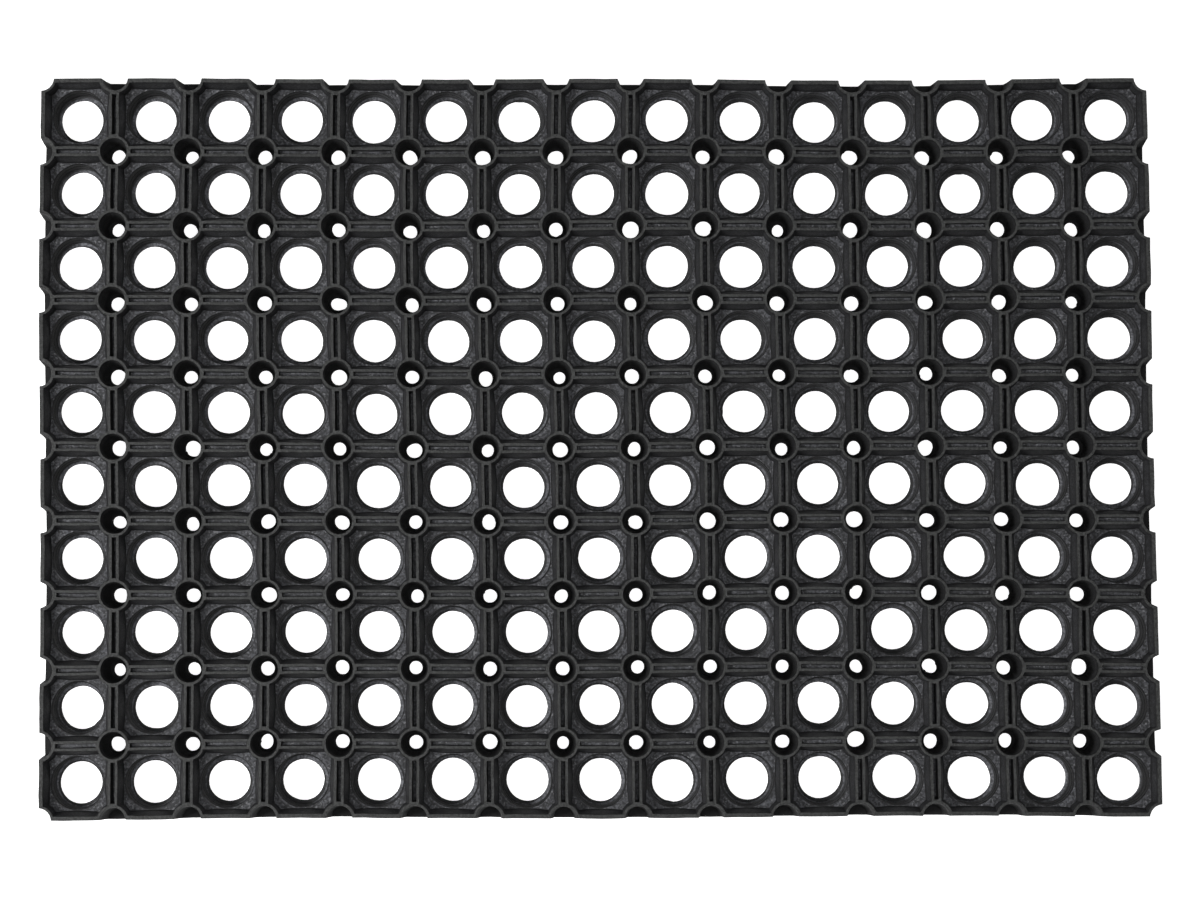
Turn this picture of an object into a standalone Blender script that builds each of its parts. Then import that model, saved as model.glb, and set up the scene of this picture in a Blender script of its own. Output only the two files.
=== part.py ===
"""Ring door mat: one rubber moulding, a grid of open ring cells with a hollow post at each crossing.

Standalone Blender 4.5 script, in metres, +Z up. The origin is the centre of the underside, X runs
along the mat and Y across it. The slab is cut by two cutters: the cells, which are cups over ring
bores, and the posts' funnels. The outline cuts its posts' funnels in half: a half funnel keeps a thin
floor, and a corner is open right through.
"""
import math

import bmesh
import bpy
from mathutils import Matrix, Vector

# Overall size
LENGTH = 0.600
WIDTH = 0.400
THICKNESS = 0.022
NOMINAL_PITCH = 0.040  # the cells share each side evenly, at the whole number nearest to this

# Cell: a cup in the upper face, over a ring bore that narrows to the underside
WALL_TOP = 0.0052  # wall between two cups at the upper face
WALL_DRAFT = 0.0027  # how far a wall's face comes out by the cup's floor
CUP_DEPTH = 0.008
RING_BORE = 0.0230  # diameter at the underside

# Post at each crossing: a tube with a funnel down to a small drain
FUNNEL_MOUTH = 0.0146  # diameter
RIM_WIDTH = 0.0012  # from the mouth out to the cups around it
POST_DRAFT = 0.0010  # how far the post's outside comes out by the cup's floor
DRAIN = 0.0077  # diameter at the underside
EDGE_FUNNEL_FLOOR = 0.0013  # thickness left under the half funnels along the outline
CORNER_DRAFT = 0.0005  # how much a corner's bite narrows to the underside, in radius

FUNNEL_SIDES = 6
BORE_SIDES = 8
OVERCUT = 0.002  # how far a cutter passes the face that it cuts through

COLUMNS = max(2, round(LENGTH / NOMINAL_PITCH))
ROWS = max(2, round(WIDTH / NOMINAL_PITCH))
PITCH_X = LENGTH / COLUMNS
PITCH_Y = WIDTH / ROWS
POST_RADIUS = FUNNEL_MOUTH / 2 + RIM_WIDTH


def clear_scene():
    for obj in list(bpy.data.objects):
        bpy.data.objects.remove(obj, do_unlink=True)


def new_collection(name):
    collection = bpy.data.collections.new(name)
    bpy.context.scene.collection.children.link(collection)
    return collection


def rubber():
    material = bpy.data.materials.new("black_rubber")
    material.use_nodes = True
    shader = material.node_tree.nodes["Principled BSDF"]
    shader.inputs["Base Color"].default_value = (0.026, 0.026, 0.029, 1.0)
    shader.inputs["Roughness"].default_value = 0.72
    shader.inputs["Metallic"].default_value = 0.0
    material.diffuse_color = (0.05, 0.05, 0.055, 1.0)
    return material


def object_from(bm, name, collection):
    bmesh.ops.recalc_face_normals(bm, faces=bm.faces)
    mesh = bpy.data.meshes.new(name)
    bm.to_mesh(mesh)
    bm.free()
    obj = bpy.data.objects.new(name, mesh)
    collection.objects.link(obj)
    return obj


def equal_area_radius(diameter, sides):
    """Circumradius of the regular polygon with the area of a circle of this diameter."""
    angle = 2 * math.pi / sides
    return diameter / 2 * math.sqrt(angle / math.sin(angle))


def cut_rectangle(half_x, half_y, post_gap):
    """The eight corners of a cup's section. Each corner is cut across, square to the line to its
    post, at post_gap from the post's axis."""
    to_post = Vector((PITCH_X / 2, PITCH_Y / 2))
    normal = to_post.normalized()
    reach = to_post.length - post_gap
    x_on_side = (reach - half_y * normal.y) / normal.x
    y_on_side = (reach - half_x * normal.x) / normal.y
    ring = []
    for sx, sy in ((1, 1), (-1, 1), (-1, -1), (1, -1)):
        pair = [Vector((sx * half_x, sy * y_on_side)), Vector((sx * x_on_side, sy * half_y))]
        ring += pair if sx * sy > 0 else pair[::-1]
    return ring


def ring_bore_section():
    radius = equal_area_radius(RING_BORE, BORE_SIDES)
    angles = [(i + 0.5) * 2 * math.pi / BORE_SIDES for i in range(BORE_SIDES)]
    return [Vector((radius * math.cos(a), radius * math.sin(a))) for a in angles]


def beyond(inner, outer, z_inner, z_outer, z):
    """The section at z on the straight run through two sections."""
    share = (z - z_inner) / (z_outer - z_inner)
    return [a.lerp(b, share) for a, b in zip(inner, outer)]


def cell_sections():
    """(height, section) of a cell's cutter, from under the mat to over it."""
    floor = THICKNESS - CUP_DEPTH
    top = cut_rectangle((PITCH_X - WALL_TOP) / 2, (PITCH_Y - WALL_TOP) / 2, POST_RADIUS)
    wall_floor = WALL_TOP + 2 * WALL_DRAFT
    bottom = cut_rectangle(
        (PITCH_X - wall_floor) / 2, (PITCH_Y - wall_floor) / 2, POST_RADIUS + POST_DRAFT
    )
    bore = ring_bore_section()
    under, over = -OVERCUT, THICKNESS + OVERCUT
    return [
        (under, beyond(bottom, bore, floor, 0.0, under)),
        (floor, bottom),
        (over, beyond(bottom, top, floor, THICKNESS, over)),
    ]


def add_loft(bm, sections, centre):
    """A closed loft through sections of equal vertex counts, with flat ends."""
    rings = [[bm.verts.new((centre.x + p.x, centre.y + p.y, z)) for p in ring] for z, ring in sections]
    count = len(rings[0])
    for low, high in zip(rings, rings[1:]):
        for i in range(count):
            j = (i + 1) % count
            bm.faces.new((low[i], low[j], high[j], high[i]))
    bm.faces.new(rings[0][::-1])
    bm.faces.new(rings[-1])


def cell_centre(column, row):
    return Vector(((column + 0.5) * PITCH_X - LENGTH / 2, (row + 0.5) * PITCH_Y - WIDTH / 2))


def cells_cutter(collection):
    bm = bmesh.new()
    sections = cell_sections()
    for column in range(COLUMNS):
        for row in range(ROWS):
            add_loft(bm, sections, cell_centre(column, row))
    return object_from(bm, "cells_cutter", collection)


def funnel_radius(z):
    mouth = equal_area_radius(FUNNEL_MOUTH, FUNNEL_SIDES)
    drain = equal_area_radius(DRAIN, FUNNEL_SIDES)
    return drain + (mouth - drain) * z / THICKNESS


def corner_radius(z):
    return equal_area_radius(FUNNEL_MOUTH, FUNNEL_SIDES) - CORNER_DRAFT * (1 - z / THICKNESS)


def add_funnel(bm, x, y, bottom, radius_at):
    """One post's funnel, from bottom to just over the mat."""
    top = THICKNESS + OVERCUT
    bmesh.ops.create_cone(
        bm,
        cap_ends=True,
        segments=FUNNEL_SIDES,
        radius1=radius_at(bottom),
        radius2=radius_at(top),
        depth=top - bottom,
        matrix=Matrix.Translation((x, y, (top + bottom) / 2)),
    )


def funnels_cutter(collection):
    bm = bmesh.new()
    for column in range(COLUMNS + 1):
        for row in range(ROWS + 1):
            borders = (column in (0, COLUMNS)) + (row in (0, ROWS))
            bottom = EDGE_FUNNEL_FLOOR if borders == 1 else -OVERCUT
            radius_at = corner_radius if borders == 2 else funnel_radius
            x, y = column * PITCH_X - LENGTH / 2, row * PITCH_Y - WIDTH / 2
            add_funnel(bm, x, y, bottom, radius_at)
    return object_from(bm, "funnels_cutter", collection)


def slab(collection):
    bm = bmesh.new()
    size = Matrix.Diagonal((LENGTH, WIDTH, THICKNESS, 1.0))
    bmesh.ops.create_cube(bm, size=1.0, matrix=Matrix.Translation((0, 0, THICKNESS / 2)) @ size)
    return object_from(bm, "mat_moulding", collection)


def cut(obj, cutter):
    cutter.hide_render = True
    cutter.display_type = "WIRE"
    modifier = obj.modifiers.new(cutter.name, "BOOLEAN")
    modifier.operation = "DIFFERENCE"
    modifier.solver = "EXACT"
    modifier.object = cutter


def main():
    clear_scene()
    parts = new_collection("door_mat")
    cutters = new_collection("cutters")
    cutters.hide_render = True
    moulding = slab(parts)
    moulding.data.materials.append(rubber())
    cut(moulding, cells_cutter(cutters))
    cut(moulding, funnels_cutter(cutters))


main()
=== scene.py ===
"""Looks of the rubber ring door mat: the whole moulding as one fine mesh, its rubber, a floor, light
and a camera. A quarter cell is built in millimetres, mirrored, repeated over the mat and roughened."""
import math

import bmesh
import bpy
import numpy as np
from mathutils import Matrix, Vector, noise


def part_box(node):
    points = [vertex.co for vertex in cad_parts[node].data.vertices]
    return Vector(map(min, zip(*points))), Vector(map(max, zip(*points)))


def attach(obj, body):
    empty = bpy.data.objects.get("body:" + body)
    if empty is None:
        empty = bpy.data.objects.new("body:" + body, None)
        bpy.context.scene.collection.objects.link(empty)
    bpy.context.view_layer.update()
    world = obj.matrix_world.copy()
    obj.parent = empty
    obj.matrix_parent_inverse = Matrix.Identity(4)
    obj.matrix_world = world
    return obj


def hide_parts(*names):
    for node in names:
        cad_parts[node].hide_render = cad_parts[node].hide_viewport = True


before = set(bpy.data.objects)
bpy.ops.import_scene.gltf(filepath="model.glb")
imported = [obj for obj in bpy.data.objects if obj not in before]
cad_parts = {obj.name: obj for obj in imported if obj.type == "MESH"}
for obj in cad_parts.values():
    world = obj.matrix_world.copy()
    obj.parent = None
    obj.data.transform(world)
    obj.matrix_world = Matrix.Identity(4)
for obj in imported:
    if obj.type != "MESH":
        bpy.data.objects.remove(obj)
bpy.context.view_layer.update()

SEED = 7
WAVE_SEED = 372
MM = 0.001
COLUMNS, ROWS = 15, 10

low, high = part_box("mat_moulding")
CENTRE = (low + high) / 2
PITCH = (high.x - low.x) / MM / COLUMNS
HALF = PITCH / 2
TOP = (high.z - low.z) / MM

# Everything below is in millimetres. A quarter cell runs from the cell's centre to its post's axis.
# Heights
GROUND = 0.0
WEB = 8.0  # underside of the web between the rings
FLOOR = 14.0  # floor of the cups
GROOVE_FLOOR = 14.6  # of the grooves across the mat
SHALLOW_FLOOR = 18.7  # of the grooves along it
# Cups
CUP = 17.4  # half width at the upper face
CUP_FOOT = 15.25  # half width at the floor, at the ends of a side
BOW = 0.6  # how much further the foot comes out in the middle of a side
# Grooves between the double ribs
GROOVE = 18.8  # from the cell's centre to the groove's edge
GROOVE_FOOT = 19.2
GROOVE_END = 10.9
GROOVE_END_FOOT = 10.3
# Posts
RIM = 8.5
MOUTH = 7.3
DRAIN = 3.78
STEM_TOP, STEM_BOTTOM = 6.5, 5.7
HALF_POST_FLOOR = 1.3
CORNER_STEM_TOP, CORNER_STEM_BOTTOM = 8.5, 8.3
# Border
SKIRT = 17.6  # from the cell's centre to the skirt's inner face
OUTLINE_TOP, OUTLINE_FOOT = -0.5, 0.3  # how far the outer face leans out of its nominal plane

BORE = 11.35  # radius of the ring's lip at the underside
# (radius, height) from the ring's outer foot, round under it and up through the bore to the floor
RING_PROFILE = [
    ("body", 16.6, WEB),
    ("body", 15.8, GROUND),
    ("lip", BORE + 0.15, GROUND),
    ("lip", BORE, 1.5),
    ("body", 13.45, 1.9),
    ("body", 13.6, 8.6),
    ("body", 13.95, 8.9),
    ("body", 14.05, 13.4),
    ("body", 14.5, FLOOR),
]
# (half width, post radius, bow, height) from the cup's foot up to its edge
CUP_PROFILE = [
    (CUP_FOOT, 9.6, BOW, FLOOR),
    (CUP_FOOT + 0.32, 9.3, BOW * 0.8, FLOOR + 0.75),
    (CUP - 0.16, RIM + 0.16, 0.0, TOP - 0.45),
    (CUP, RIM, 0.0, TOP),
]
# (tag, radius, height) down a post's funnel
FUNNEL_TOP = [("body", MOUTH, TOP), ("body", MOUTH - 0.25, TOP - 0.5), ("body", 6.15, 10.0)]
FUNNEL_DRAIN = [("body", 5.2, 1.9), ("drain", DRAIN, 1.3), ("drain", DRAIN + 0.15, GROUND)]
FUNNEL_CLOSED = [("body", 5.4, HALF_POST_FLOOR + 0.7), ("body", 4.9, HALF_POST_FLOOR)]
FUNNEL_CORNER = [("body", MOUTH, TOP), ("body", MOUTH - 0.2, TOP - 0.5), ("body", 6.8, GROUND)]
TAGS = {"body": 0, "lip": 1, "drain": 2}

# How the holes vary: radius, ovalness, place, raggedness of the edge, and nicks of flash
LIP_SPREAD = {
    "size": 0.2, "most": 0.5, "oval": 0.07, "shift": 0.28, "edge": 0.025, "nick": 0.3, "nicks": 0.006,
}
DRAIN_SPREAD = {
    "size": 0.28, "most": 0.65, "oval": 0.14, "shift": 0.32, "edge": 0.03, "nick": 0.4, "nicks": 0.01,
}
# How the mat is out of true in plan: sideways shift per length, and two waves' lengths and sizes
SKEW = -0.0041
BROAD_WAVE, BROAD_SHIFT = 190.0, 2.0
FINE_WAVE, FINE_SHIFT = 10.0, 0.3

SKY_LIGHT, SKY_SEEN = 0.14, 0.9  # the sky as a light, and as the camera sees it
FLOOR_GLOW = 0.93  # what the camera sees of the floor before any light falls on it
FLOOR_SIZE, FLOOR_GAP = 8, 0.0002  # in metres; the gap is between the floor and the mat
SHARP_ANGLE = 50  # edges over this many degrees stay sharp

QUARTER_STEPS = 8  # sides of a quarter of a cell's rings
POST_STEPS = 4  # sides of a cup's arc round a post

# Rubber colours: (clean, dusty) of each zone, and single ones; SHADE, LIP_SHADE and FUNNEL_SHADE are
# painted shade
WALL = (0.0100, 0.0100, 0.0110, 1), (0.0370, 0.0375, 0.0410, 1)
# The bore wall's dusty colour holds painted light as well as dust: paler than the cup walls though deeper
BORE_WALL_DUST_AND_PAINTED_LIGHT = (0.0100, 0.0100, 0.0110, 1), (0.0500, 0.0510, 0.0560, 1)
LEVEL = (0.0045, 0.0048, 0.0058, 1), (0.0840, 0.0860, 0.0970, 1)
# The ledge colours are painted light as well as dust: paler than the floors though the ledge lies deep in
# the bore
LEDGE_DUST_AND_PAINTED_LIGHT = (0.040, 0.041, 0.046, 1), (0.180, 0.184, 0.204, 1)
RIB_TOP = (0.0070, 0.0074, 0.0072, 1), (0.0230, 0.0238, 0.0234, 1)
RIB_GRIT = (0.058, 0.060, 0.059, 1)
# Pale grit and scuff marks on the floors, which also serve as painted glints of the light
PALE_MARK_AND_GLINT = (0.160, 0.162, 0.172, 1)
SHADE = (0.0045, 0.0045, 0.0050, 1)
LIP_SHADE = (0.0030, 0.0030, 0.0035, 1)
FUNNEL_SHADE = (0.0035, 0.0035, 0.0040, 1)


class Patch:
    """Points with tags, and faces between them, of one quarter cell."""

    def __init__(self):
        self.points, self.tags, self.faces = [], [], []

    def add(self, points, tag="body"):
        first = len(self.points)
        self.points += [tuple(p) for p in points]
        self.tags += [TAGS[tag]] * len(points)
        return list(range(first, len(self.points)))

    def one(self, x, y, z):
        return self.add([(x, y, z)])[0]

    def strip(self, ring, other):
        for i in range(len(ring) - 1):
            self.faces.append((ring[i], ring[i + 1], other[i + 1], other[i]))


def ring_points(radius, z):
    """A quarter of a circle round the cell's centre, from +X to +Y."""
    turn = [math.pi / 2 * i / QUARTER_STEPS for i in range(QUARTER_STEPS + 1)]
    return [(radius * math.cos(a), radius * math.sin(a), z) for a in turn]


def round_post(radius, angle, z):
    """A point round the post, at an angle from its -Y side towards its -X side."""
    return (HALF - radius * math.sin(angle), HALF - radius * math.cos(angle), z)


def cup_points(side, post, bow, z):
    """A quarter of a cup's section: half a side, the arc round the post, and half the next side."""
    begin = math.asin((HALF - side) / post)
    end_y = HALF - post * math.cos(begin)
    half_side = [(side - bow * (1 - t * t), end_y * t, z) for t in (0.0, 0.5, 1.0)]
    step = (math.pi / 2 - 2 * begin) / POST_STEPS
    arc = [round_post(post, begin + step * i, z) for i in range(1, POST_STEPS)]
    return half_side + arc + [(y, x, z) for x, y, z in half_side[::-1]]


def post_angles():
    """The angles of a post's quarter ring. All but the ends face the cup's arc round the post."""
    begin = math.asin((HALF - CUP) / RIM)
    step = (math.pi / 2 - 2 * begin) / POST_STEPS
    return [0.0] + [begin + step * i for i in range(POST_STEPS + 1)] + [math.pi / 2]


def post_points(radius, z):
    return [round_post(radius, a, z) for a in post_angles()]


def stem_points(radius, z, x_border, y_border):
    """A quarter of a stem's outside, which ends at the skirt's inner face on a border side."""
    at_skirt = math.asin((HALF - SKIRT) / radius)
    if not (x_border or y_border):
        return post_points(radius, z)
    begin = at_skirt if x_border else 0.0
    end = math.pi / 2 - (at_skirt if y_border else 0.0)
    return [round_post(radius, begin + (end - begin) * i / 6, z) for i in range(7)]


def add_arm(patch, swap, border, edge, mouth):
    """The upper face beside one side of the cup, with its groove, or out to the outline. edge holds
    the three points of the cup's edge from the middle of the side, mouth the first two of the
    funnel's mouth. swap exchanges X and Y. Returns the outline's points on the upper face."""

    def one(x, y, z):
        return patch.one(y, x, z) if swap else patch.one(x, y, z)

    middle = patch.points[edge[1]][0 if swap else 1]
    if border:
        outline = [one(HALF, 0.0, TOP), one(HALF, middle, TOP), mouth[0]]
        patch.strip(edge, outline)
        patch.faces.append((edge[2], outline[2], mouth[1]))
        return outline
    rib = [one(GROOVE, 0.0, TOP), one(GROOVE, middle, TOP), one(GROOVE, GROOVE_END, TOP)]
    end = one(HALF, GROOVE_END, TOP)
    floor = SHALLOW_FLOOR if swap else GROOVE_FLOOR
    foot = [one(GROOVE_FOOT, y, floor) for y in (0.0, middle, GROOVE_END_FOOT)]
    line = [one(HALF, y, floor) for y in (0.0, middle, GROOVE_END_FOOT)]
    patch.strip(edge, rib)
    patch.strip(rib, foot)
    patch.strip(foot, line)
    patch.faces.append((rib[2], end, line[2], foot[2]))
    patch.faces.append((edge[2], rib[2], end, mouth[0], mouth[1]))
    return []


def add_outline_wall(patch, swap, outline, funnel_side, corner):
    """The mat's outer face beside a border side, with the cut of the half funnel, or up to the
    mat's corner."""

    def one(x, y, z):
        return patch.one(y, x, z) if swap else patch.one(x, y, z)

    bottom = one(HALF, 0.0, GROUND)
    beyond = [] if corner else [one(HALF, HALF, HALF_POST_FLOOR), one(HALF, HALF, GROUND)]
    patch.faces.append((bottom, *outline, *funnel_side, *beyond))


def quarter_cell(x_border, y_border):
    patch = Patch()
    rings = [patch.add(ring_points(r, z), tag) for tag, r, z in RING_PROFILE]
    rings += [patch.add(cup_points(*section)) for section in CUP_PROFILE]
    for ring, other in zip(rings, rings[1:]):
        patch.strip(ring, other)
    edge = rings[-1]

    corner = x_border and y_border
    closed = (x_border or y_border) and not corner
    profile = FUNNEL_CORNER if corner else FUNNEL_TOP + (FUNNEL_CLOSED if closed else FUNNEL_DRAIN)
    funnel = [patch.add(post_points(r, z), tag) for tag, r, z in profile]
    for ring, other in zip(funnel, funnel[1:]):
        patch.strip(ring, other)
    mouth = funnel[0]
    patch.strip(edge[2:7], mouth[1:6])
    if closed:
        patch.faces.append((*funnel[-1], patch.one(HALF, HALF, HALF_POST_FLOOR)))

    x_outline = add_arm(patch, False, x_border, edge[:3], mouth[:2])
    y_outline = add_arm(patch, True, y_border, edge[:5:-1], mouth[:-3:-1])
    if x_border:
        add_outline_wall(patch, False, x_outline, [ring[0] for ring in funnel[1:]], corner)
    if y_border:
        add_outline_wall(patch, True, y_outline, [ring[-1] for ring in funnel[1:]], corner)
    add_underside(patch, rings[0], funnel[-1], x_border, y_border)
    patch.points = [lean(point, x_border, y_border) for point in patch.points]
    return patch


def lean(point, x_border, y_border):
    """The point, moved out or in if it is on the mat's outer face."""
    x, y, z = point
    out = OUTLINE_FOOT + (OUTLINE_TOP - OUTLINE_FOOT) * z / TOP
    return (x + out if x_border and x == HALF else x, y + out if y_border and y == HALF else y, z)


def add_underside(patch, ring_top, drain, x_border, y_border):
    """The web's underside round the ring and the stem, the stem, and the skirt at a border."""
    corner = x_border and y_border
    radii = (CORNER_STEM_TOP, CORNER_STEM_BOTTOM) if corner else (STEM_TOP, STEM_BOTTOM)
    top = patch.add(stem_points(radii[0], WEB, x_border, y_border))
    bottom = patch.add(stem_points(radii[1], GROUND, x_border, y_border))
    patch.strip(top, bottom)
    x_side = SKIRT if x_border else HALF
    y_side = SKIRT if y_border else HALF
    web_x, web_y = patch.one(x_side, 0.0, WEB), patch.one(0.0, y_side, WEB)
    patch.faces.append((*ring_top, web_y, *top[::-1], web_x))
    if not (x_border or y_border):
        patch.strip(bottom, drain)
        return
    ground = []
    if x_border:
        foot = patch.one(SKIRT, 0.0, GROUND)
        patch.faces.append((web_x, top[0], bottom[0], foot))
        ground += [foot, patch.one(HALF, 0.0, GROUND)]
    ground += drain if corner else [patch.one(HALF, HALF, GROUND)]
    if y_border:
        foot = patch.one(0.0, SKIRT, GROUND)
        patch.faces.append((web_y, top[-1], bottom[-1], foot))
        ground += [patch.one(0.0, HALF, GROUND), foot]
    patch.faces.append((*ground, *bottom[::-1]))


def whole_mat():
    """Points in millimetres from the underside's centre, their tags, and faces, with each shared
    corner once."""
    patches = {(bx, by): quarter_cell(bx, by) for bx in (False, True) for by in (False, True)}
    points, tags, faces, count = [], [], [], 0
    for column in range(COLUMNS):
        for row in range(ROWS):
            centre = ((column + 0.5) * PITCH - COLUMNS * HALF, (row + 0.5) * PITCH - ROWS * HALF, 0)
            for sx in (1, -1):
                for sy in (1, -1):
                    x_border = column == (COLUMNS - 1 if sx > 0 else 0)
                    y_border = row == (ROWS - 1 if sy > 0 else 0)
                    patch = patches[x_border, y_border]
                    points.append(np.array(patch.points) * (sx, sy, 1) + centre)
                    tags += patch.tags
                    faces += [tuple(i + count for i in face) for face in patch.faces]
                    count += len(patch.points)
    points = np.concatenate(points)
    _, first, index = np.unique(
        np.round(points * 1000).astype(np.int64), axis=0, return_index=True, return_inverse=True
    )
    index = index.reshape(-1)
    return points[first], np.array(tags)[first], [tuple(index[list(f)]) for f in faces]


def as_made(points, tags):
    """The points moved as pressing, trimming and handling left them: each hole has its own size and
    shape, and the whole mat is slightly skewed and wavy in plan."""
    points = points.copy()
    draws = np.random.default_rng(SEED)
    noise.seed_set(WAVE_SEED)
    trim_holes(points, tags == TAGS["lip"], draws, (COLUMNS, ROWS), HALF, LIP_SPREAD)
    trim_holes(points, tags == TAGS["drain"], draws, (COLUMNS + 1, ROWS + 1), 0.0, DRAIN_SPREAD)
    for i, (x, y, z) in enumerate(points):
        broad = noise.noise_vector(Vector((x, y, 0.0)) / BROAD_WAVE)
        fine = noise.noise_vector(Vector((x, y, z)) / FINE_WAVE)
        move = BROAD_SHIFT * broad + FINE_SHIFT * fine
        points[i] = (x + SKEW * y + move.x, y + SKEW * x + move.y, z)
    return points


def trim_holes(points, chosen, draws, counts, offset, spread):
    """Moves the chosen rims about their hole's centre: each hole's size, oval, place and edge are
    drawn from the spread. The centres are one pitch apart, offset from the mat's corner."""
    size = draws.normal(0, spread["size"], counts).clip(-spread["most"], spread["most"])
    oval = np.abs(draws.normal(0, spread["oval"], counts))
    turn = draws.uniform(0, 2 * math.pi, counts)
    shift = draws.normal(0, spread["shift"], (*counts, 2))
    steps = 4 * QUARTER_STEPS
    edge = draws.normal(0, spread["edge"], (*counts, steps))
    edge -= spread["nick"] * (draws.random((*counts, steps)) < spread["nicks"])
    corner = np.array((COLUMNS, ROWS)) * HALF
    place = (points[chosen, :2] + corner - offset) / PITCH
    column, row = np.rint(place).astype(int).T
    centre = np.stack((column, row), 1) * PITCH + offset - corner
    arm = points[chosen, :2] - centre
    radius, angle = np.hypot(*arm.T), np.arctan2(arm[:, 1], arm[:, 0])
    step = np.rint(angle / (2 * math.pi) * steps).astype(int) % steps
    t = turn[column, row]
    grown = radius + size[column, row] + edge[column, row, step]
    grown += oval[column, row] * np.cos(2 * (angle - t)) + 0.3 * oval[column, row] * np.cos(3 * angle + t)
    points[chosen, :2] = centre + shift[column, row] + arm * (grown / radius)[:, None]


class Nodes:
    """Adds nodes to one material. A value given for an input is a number, a colour or a socket."""

    def __init__(self, name):
        self.material = bpy.data.materials.new(name)
        self.material.use_nodes = True
        self.tree = self.material.node_tree
        self.shader = self.tree.nodes["Principled BSDF"]

    def fill(self, socket, value):
        if isinstance(value, bpy.types.NodeSocket):
            self.tree.links.new(value, socket)
        else:
            socket.default_value = value

    def add(self, kind, settings, inputs, output=0):
        node = self.tree.nodes.new(kind)
        for name, value in settings.items():
            setattr(node, name, value)
        for name, value in inputs.items():
            self.fill(node.inputs[name], value)
        return node.outputs[output]

    def math(self, operation, *values):
        return self.add("ShaderNodeMath", {"operation": operation}, dict(enumerate(values)))

    def share(self, value, start, end):
        """0 at start and 1 at end, smooth between, whichever is larger."""
        inputs = {"Value": value, "From Min": start, "From Max": end}
        return self.add("ShaderNodeMapRange", {"interpolation_type": "SMOOTHSTEP"}, inputs)

    def ramp(self, length, start, end):
        """The share of a length, with start and end in millimetres."""
        return self.share(length, start * MM, end * MM)

    def product(self, first, *others):
        for other in others:
            first = self.math("MULTIPLY", first, other)
        return first

    def parts(self, vector):
        """The X, Y and Z of a vector."""
        node = self.tree.nodes.new("ShaderNodeSeparateXYZ")
        self.fill(node.inputs[0], vector)
        return node.outputs

    def noise(self, place, size, detail=2.0, roughness=0.5, distortion=0.0):
        """Noise with features about this size, in millimetres."""
        inputs = {
            "Vector": place, "Scale": 1 / (size * MM), "Detail": detail,
            "Roughness": roughness, "Distortion": distortion,
        }
        return self.add("ShaderNodeTexNoise", {}, inputs)

    def from_nearest(self, x, y):
        """The distance in plan from the nearest point of a grid one pitch apart, with a point at 0."""
        x, y = (self.math("WRAP", value, HALF * MM, -HALF * MM) for value in (x, y))
        return self.math("SQRT", self.math("MULTIPLY_ADD", x, x, self.math("MULTIPLY", y, y)))

    def mix(self, share, first, second):
        node = self.tree.nodes.new("ShaderNodeMix")
        node.data_type = "RGBA"
        for index, value in ((0, share), (6, first), (7, second)):
            self.fill(node.inputs[index], value)
        return node.outputs[2]


def zones(n, place):
    """Where each look applies, as masks by height, by slope and by distance from the nearest cell's
    centre or post's axis."""
    x, y, z = n.parts(place)
    slope = n.parts(n.add("ShaderNodeNewGeometry", {}, {}, "Normal"))
    up = n.share(slope[2], 0.75, 0.97)
    from_cell = n.from_nearest(x, n.math("SUBTRACT", y, HALF * MM))
    from_post = n.from_nearest(n.math("SUBTRACT", x, HALF * MM), y)

    floor = n.product(n.ramp(z, FLOOR - 0.9, FLOOR - 0.3), n.ramp(z, FLOOR + 1.6, FLOOR + 0.7), up)
    groove = n.product(
        n.ramp(z, SHALLOW_FLOOR - 0.8, SHALLOW_FLOOR - 0.3),
        n.ramp(z, SHALLOW_FLOOR + 0.9, SHALLOW_FLOOR + 0.3),
        up,
    )
    in_bore = n.product(n.ramp(from_cell, 14.5, 14.1), n.ramp(z, FLOOR, FLOOR - 0.5))
    return {
        "top": n.ramp(z, TOP - 0.6, TOP - 0.1),
        "level": n.math("MAXIMUM", floor, groove),
        "in_bore": in_bore,
        # the ledge deep in the bore, lightened by painted light as well as dust
        "ledge": n.product(in_bore, up, n.ramp(z, 4.5, 3.5)),
        "lip": n.product(in_bore, n.ramp(from_cell, 12.7, 12.3)),
        # Painted shade at the foot of the walls, where they meet the floors
        "foot": n.product(n.ramp(z, FLOOR + 2.6, FLOOR + 0.5), n.math("SUBTRACT", 1.0, up)),
        # Painted shade on the upper walls, under the rib edges
        "brow_shade": n.ramp(z, TOP - 3.0, TOP - 1.2),
        "funnel": n.product(n.ramp(from_post, 7.9, 7.4), n.ramp(z, TOP - 0.3, 14.0)),
        # Painted shade round the bore's mouth, just below and at the floor's edge
        "edge": n.product(
            n.ramp(from_cell, 13.7, 14.0), n.ramp(z, 12.2, 12.8), n.ramp(from_cell, 14.9, 14.55)
        ),
        "near_ring": n.product(n.ramp(from_cell, 13.9, 14.4), n.ramp(from_cell, 15.6, 14.8)),
    }


def textures(n, place, near_ring):
    """The noises that the colours, the roughness and the bumps share."""
    blotch = n.noise(place, 16.0, 4.0, 0.62, 0.4)
    mottle = n.noise(place, 3.6, 5.0, 0.7, 0.2)
    grit = n.share(n.noise(place, 1.3, 1.0, 0.5), 0.44, 0.58)
    # Pale grit specks that also serve as painted glints
    speck_and_glint = n.share(n.noise(place, 1.2, 0.0), 0.66, 0.75)
    coarse = n.share(mottle, 0.32, 0.68)
    dust = n.math("MULTIPLY_ADD", grit, 0.7, n.product(coarse, 0.3))
    dust = n.product(dust, n.math("MULTIPLY_ADD", n.share(blotch, 0.3, 0.7), 0.5, 0.5))
    streaks = n.share(n.noise(place, 9.0, 3.0, 0.7, 1.2), 0.54, 0.62)
    # Pale scuff streaks round the ring that also serve as painted highlights
    scuff_and_glint = n.product(near_ring, streaks, grit)
    pale_marks_and_glints = n.math("MAXIMUM", n.product(scuff_and_glint, 0.7), n.product(speck_and_glint, 0.7))
    return {"mottle": mottle, "grit": grit, "coarse": coarse, "dust": dust, "pale_marks_and_glints": pale_marks_and_glints}


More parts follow.
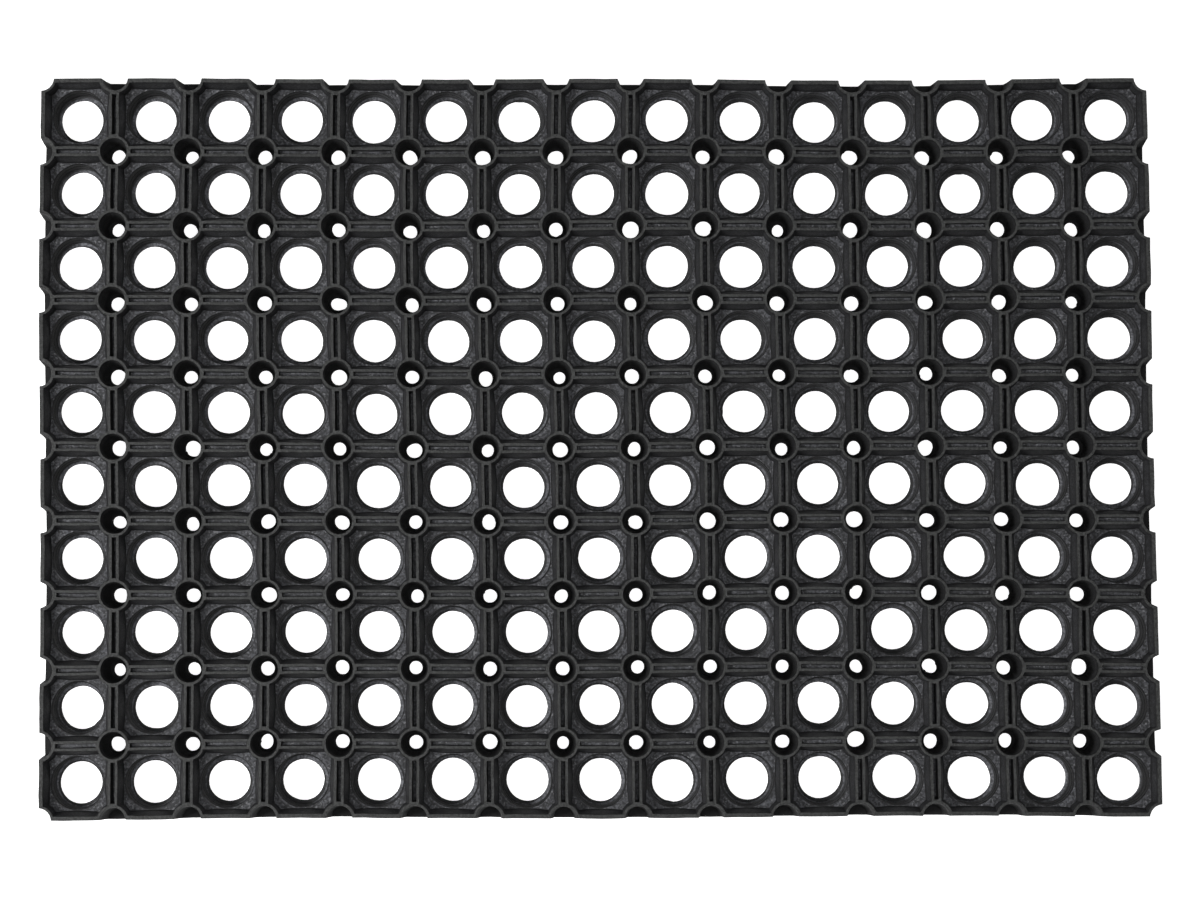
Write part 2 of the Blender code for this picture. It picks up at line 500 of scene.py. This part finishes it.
def rubber_colour(n, zone, texture):
    """Dusty mottled cup floors with pale marks that are partly painted glints, pale worn rib tops,
    bore walls and ledges lightened by painted light as well as dust, and painted shade in the funnels,
    at the lips, round the bores' mouths, at the walls' feet and under the rib edges.
    """
    dust = texture["dust"]
    wall = n.mix(dust, *WALL)
    # Painted shade on the walls' feet
    wall = n.mix(n.product(zone["foot"], 0.8), wall, SHADE)
    # Painted shade on the upper walls, under the rib edges
    wall = n.mix(n.product(zone["brow_shade"], 0.65), wall, SHADE)
    # The bore walls, lightened by painted light as well as dust
    colour = n.mix(zone["in_bore"], wall, n.mix(dust, *BORE_WALL_DUST_AND_PAINTED_LIGHT))
    # Floors with pale specks and scuffs: grit and painted glints
    level = n.mix(texture["pale_marks_and_glints"], n.mix(dust, *LEVEL), PALE_MARK_AND_GLINT)
    colour = n.mix(zone["level"], colour, level)
    # Painted light and dust on the ledge deep in the bore
    colour = n.mix(zone["ledge"], colour, n.mix(dust, *LEDGE_DUST_AND_PAINTED_LIGHT))
    # Painted shade round the bores' mouths
    colour = n.mix(n.product(zone["edge"], 0.65), colour, SHADE)
    colour = n.mix(n.product(zone["lip"], 0.9), colour, LIP_SHADE)
    colour = n.mix(n.product(zone["funnel"], 0.9), colour, FUNNEL_SHADE)
    worn = n.mix(n.product(texture["grit"], 0.4), n.mix(texture["coarse"], *RIB_TOP), RIB_GRIT)
    return n.mix(zone["top"], colour, worn)


def rubber():
    n = Nodes("black_rubber")
    place = n.add("ShaderNodeTexCoord", {}, {}, "Object")
    zone = zones(n, place)
    texture = textures(n, place, zone["near_ring"])
    n.fill(n.shader.inputs["Base Color"], rubber_colour(n, zone, texture))

    rough = n.math("MULTIPLY_ADD", texture["mottle"], 0.22, 0.50)
    rough = n.math("MULTIPLY_ADD", zone["funnel"], 0.2, rough)
    n.fill(n.shader.inputs["Roughness"], rough)
    n.shader.inputs["IOR"].default_value = 1.48

    grain = n.noise(place, 0.8, 2.0, 0.6)
    grain = n.math("MULTIPLY_ADD", texture["grit"], 0.15, grain)
    bump = {"Strength": 1.0, "Distance": 0.4 * MM}
    bump["Height"] = n.math("MULTIPLY_ADD", texture["mottle"], 0.6, grain)
    n.fill(n.shader.inputs["Normal"], n.add("ShaderNodeBump", {}, bump))
    return n.material


def add_mat():
    points, tags, faces = whole_mat()
    points = as_made(points, tags) * MM + np.array((CENTRE.x, CENTRE.y, low.z))
    mesh = bpy.data.meshes.new("ring_mat")
    mesh.from_pydata(points.tolist(), [], faces)
    bm = bmesh.new()
    bm.from_mesh(mesh)
    bmesh.ops.recalc_face_normals(bm, faces=bm.faces)
    bm.to_mesh(mesh)
    bm.free()
    mesh.shade_smooth()
    mesh.set_sharp_from_angle(angle=math.radians(SHARP_ANGLE))
    mesh.materials.append(rubber())
    mat = bpy.data.objects.new("ring_mat", mesh)
    bpy.context.scene.collection.objects.link(mat)
    weighted = mat.modifiers.new("face_weighted_normals", "WEIGHTED_NORMAL")
    weighted.keep_sharp = True
    weighted.weight = 60
    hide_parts("mat_moulding")
    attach(mat, "root")


def add_floor():
    """A plain white floor. Seen directly it is nearly white in the shade of the cells too."""
    bpy.ops.mesh.primitive_plane_add(size=FLOOR_SIZE, location=(0, 0, low.z - FLOOR_GAP))
    floor = bpy.context.object
    floor.name = "floor"
    n = Nodes("white_floor")
    n.shader.inputs["Base Color"].default_value = (0.7, 0.7, 0.7, 1)
    n.shader.inputs["Roughness"].default_value = 0.9
    n.shader.inputs["Specular IOR Level"].default_value = 0.0
    n.shader.inputs["Emission Color"].default_value = (1, 1, 1, 1)
    seen = n.add("ShaderNodeLightPath", {}, {}, "Is Camera Ray")
    n.fill(n.shader.inputs["Emission Strength"], n.math("MULTIPLY", seen, FLOOR_GLOW))
    floor.data.materials.append(n.material)


def add_light(name, place, size, power):
    """A square soft light that faces the mat."""
    data = bpy.data.lights.new(name, "AREA")
    data.shape, data.size, data.energy = "SQUARE", size, power
    light = bpy.data.objects.new(name, data)
    light.location = place
    light.rotation_euler = (-Vector(place)).to_track_quat("-Z", "Y").to_euler()
    bpy.context.scene.collection.objects.link(light)


def add_studio():
    world = bpy.data.worlds.new("studio")
    world.use_nodes = True
    tree = world.node_tree
    background = tree.nodes["Background"]
    background.inputs["Color"].default_value = (1.0, 1.0, 1.0, 1)
    seen = tree.nodes.new("ShaderNodeLightPath").outputs["Is Camera Ray"]
    strength = tree.nodes.new("ShaderNodeMapRange")
    strength.inputs["To Min"].default_value = SKY_LIGHT
    strength.inputs["To Max"].default_value = SKY_SEEN
    tree.links.new(seen, strength.inputs["Value"])
    tree.links.new(strength.outputs[0], background.inputs["Strength"])
    bpy.context.scene.world = world
    add_light("left_softbox", (-1.5, -0.35, 1.6), 0.7, 42)
    add_light("overhead_softbox", (0.1, -0.3, 2.3), 1.5, 18)
    add_light("low_far_softbox", (1.7, 1.7, 0.8), 1.0, 9)
    bpy.context.scene.view_settings.view_transform = "Standard"


def add_camera():
    """Almost straight down from over the near half of the mat."""
    data = bpy.data.cameras.new("camera")
    data.sensor_width, data.lens = 36, 86.2
    data.clip_start = 0.05
    camera = bpy.data.objects.new("camera", data)
    camera.location = (-0.0021, -0.0964, 1.567)
    camera.rotation_euler = [math.radians(a) for a in (3.494, -0.119, -0.304)]
    bpy.context.scene.collection.objects.link(camera)
    bpy.context.scene.camera = camera


def main():
    add_camera()
    add_mat()
    add_floor()
    add_studio()


main()
